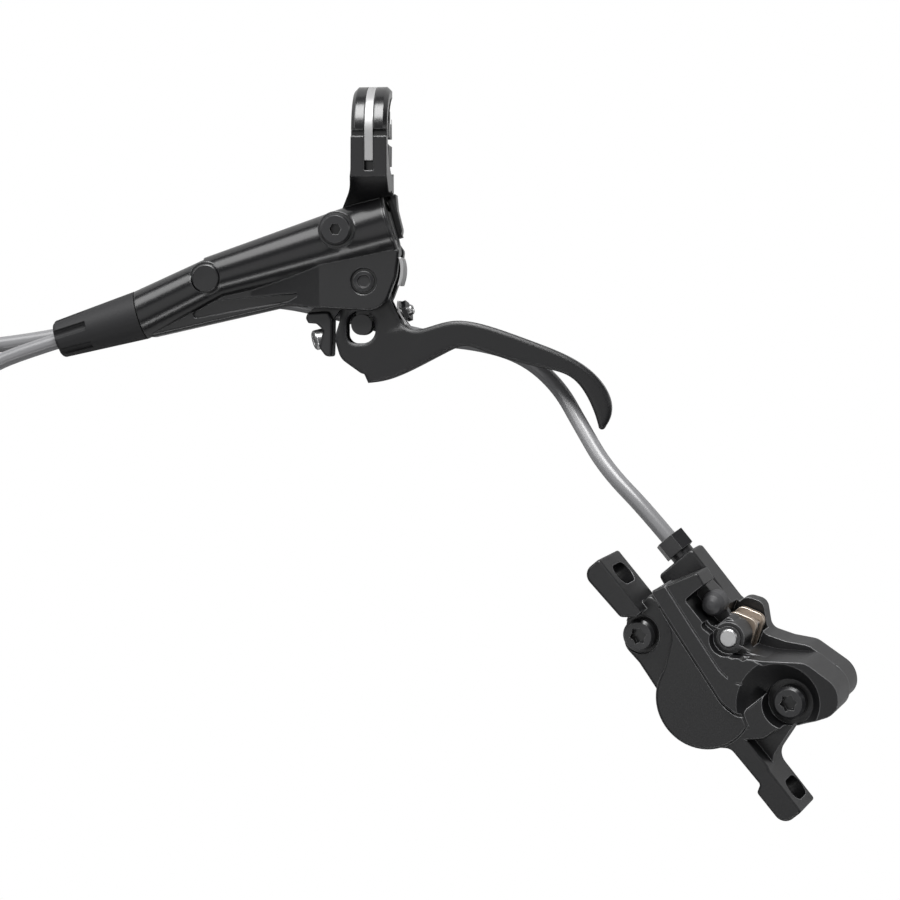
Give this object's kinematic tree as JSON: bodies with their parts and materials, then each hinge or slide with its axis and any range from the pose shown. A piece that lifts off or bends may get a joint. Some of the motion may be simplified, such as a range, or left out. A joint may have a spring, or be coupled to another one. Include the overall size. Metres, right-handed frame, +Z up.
{
  "type": "hydraulic disc brake",
  "caption": "Flat bar hydraulic brake lever with band clamp, joined by a coiled hose to a post mount disc caliper with pads.",
  "frame": {"origin": "centre of the handlebar clamp bore", "axes": "+X along the handlebar, away from the hose end; +Z up from the surface it lies on"},
  "size_m": [0.3209, 0.2065, 0.0488],
  "materials": {
    "painted_aluminium": "gloss",
    "aluminium": "satin",
    "bright_steel": "satin",
    "black_steel": "satin",
    "brass": "satin",
    "rubber": "matte",
    "polymer": "satin",
    "ceramic": "satin",
    "friction_lining": "matte",
    "hose_polymer": "satin"
  },
  "bodies": {
    "housing": {"axle_clip": "bright_steel", "barrel_cap": "painted_aluminium", "bleed_nipple": "bright_steel", "bleed_screw": "black_steel", "bleed_seal": "rubber", "body_bolt_front": "black_steel", "body_bolt_rear": "black_steel", "caliper_inner": "painted_aluminium", "caliper_outer": "painted_aluminium", "clamp_band": "painted_aluminium", "clamp_bolt": "black_steel", "clamp_strap": "bright_steel", "hose_bolt_caliper": "black_steel", "hose_bolt_lever": "black_steel", "hose_coil": "hose_polymer", "hose_collar_caliper": "black_steel", "hose_cover": "rubber", "hose_insert_lever": "brass", "hose_run_caliper": "hose_polymer", "hose_run_lever": "hose_polymer", "hose_tie": "polymer", "lever_body": "painted_aluminium", "nipple_cap": "rubber", "olive_caliper": "brass", "olive_lever": "brass", "pad_axle": "bright_steel", "pad_spring": "bright_steel", "piston_seal_inner": "rubber", "piston_seal_outer": "rubber", "piston_spring": "bright_steel", "piston_stop_ring": "bright_steel", "pivot_clip": "bright_steel", "pivot_pin": "bright_steel", "port_plug": "painted_aluminium", "reservoir_bladder": "rubber", "spring_leaf": "bright_steel"},
    "link": {"pull_link": "black_steel"},
    "blade": {"lever_blade": "painted_aluminium", "blade_bush_top": "polymer", "blade_bush_bottom": "polymer", "return_strip": "bright_steel", "stroke_nut": "black_steel", "stroke_screw": "bright_steel"},
    "reach": {"reach_screw": "bright_steel"},
    "master": {"push_rod": "bright_steel", "master_piston": "aluminium", "primary_cup": "rubber", "secondary_cup": "rubber"},
    "outer_pad": {"piston_outer": "ceramic", "pad_plate_outer": "bright_steel", "pad_lining_outer": "friction_lining"},
    "inner_pad": {"piston_inner": "ceramic", "pad_plate_inner": "bright_steel", "pad_lining_inner": "friction_lining"}
  },
  "joints": [
    {"name": "lever_pull", "type": "hinge", "parent": "housing", "child": "link", "pos_m": [-0.0024, -0.04086, -0.00669], "axis": [0, -0.1616, 0.9869], "range_deg": [0, 15], "stiffness_Nm_per_rad": 0.3, "springref_deg": -11.46},
    {"name": "blade_reach", "type": "hinge", "parent": "link", "child": "blade", "pos_m": [-0.0024, -0.04086, -0.00669], "axis": [0, -0.1616, 0.9869], "range_deg": [0, 5]},
    {"name": "reach_turn", "type": "hinge", "parent": "link", "child": "reach", "pos_m": [-0.0153, -0.05684, -0.00931], "axis": [-0.9013, -0.2954, 0.3169], "range_deg": [-720, 0]},
    {"name": "master_slide", "type": "slide", "parent": "housing", "child": "master", "axis": [-0.9613, -0.272, -0.0445], "range_m": [0, 0.0036], "deforming": ["piston_spring"]},
    {"name": "outer_piston_slide", "type": "slide", "parent": "housing", "child": "outer_pad", "axis": [0.2831, 0.2276, -0.9317], "range_m": [0, 0.00032]},
    {"name": "inner_piston_slide", "type": "slide", "parent": "housing", "child": "inner_pad", "axis": [-0.2831, -0.2276, 0.9317], "range_m": [0, 0.00032]}
  ],
  "couplings": [
    {"joint": "master_slide", "follows": "lever_pull", "m_per_rad": 0.01338},
    {"joint": "outer_piston_slide", "follows": "lever_pull", "m_per_rad": 0.0012},
    {"joint": "inner_piston_slide", "follows": "lever_pull", "m_per_rad": 0.0012},
    {"joint": "reach_turn", "follows": "blade_reach", "ratio": -140}
  ]
}
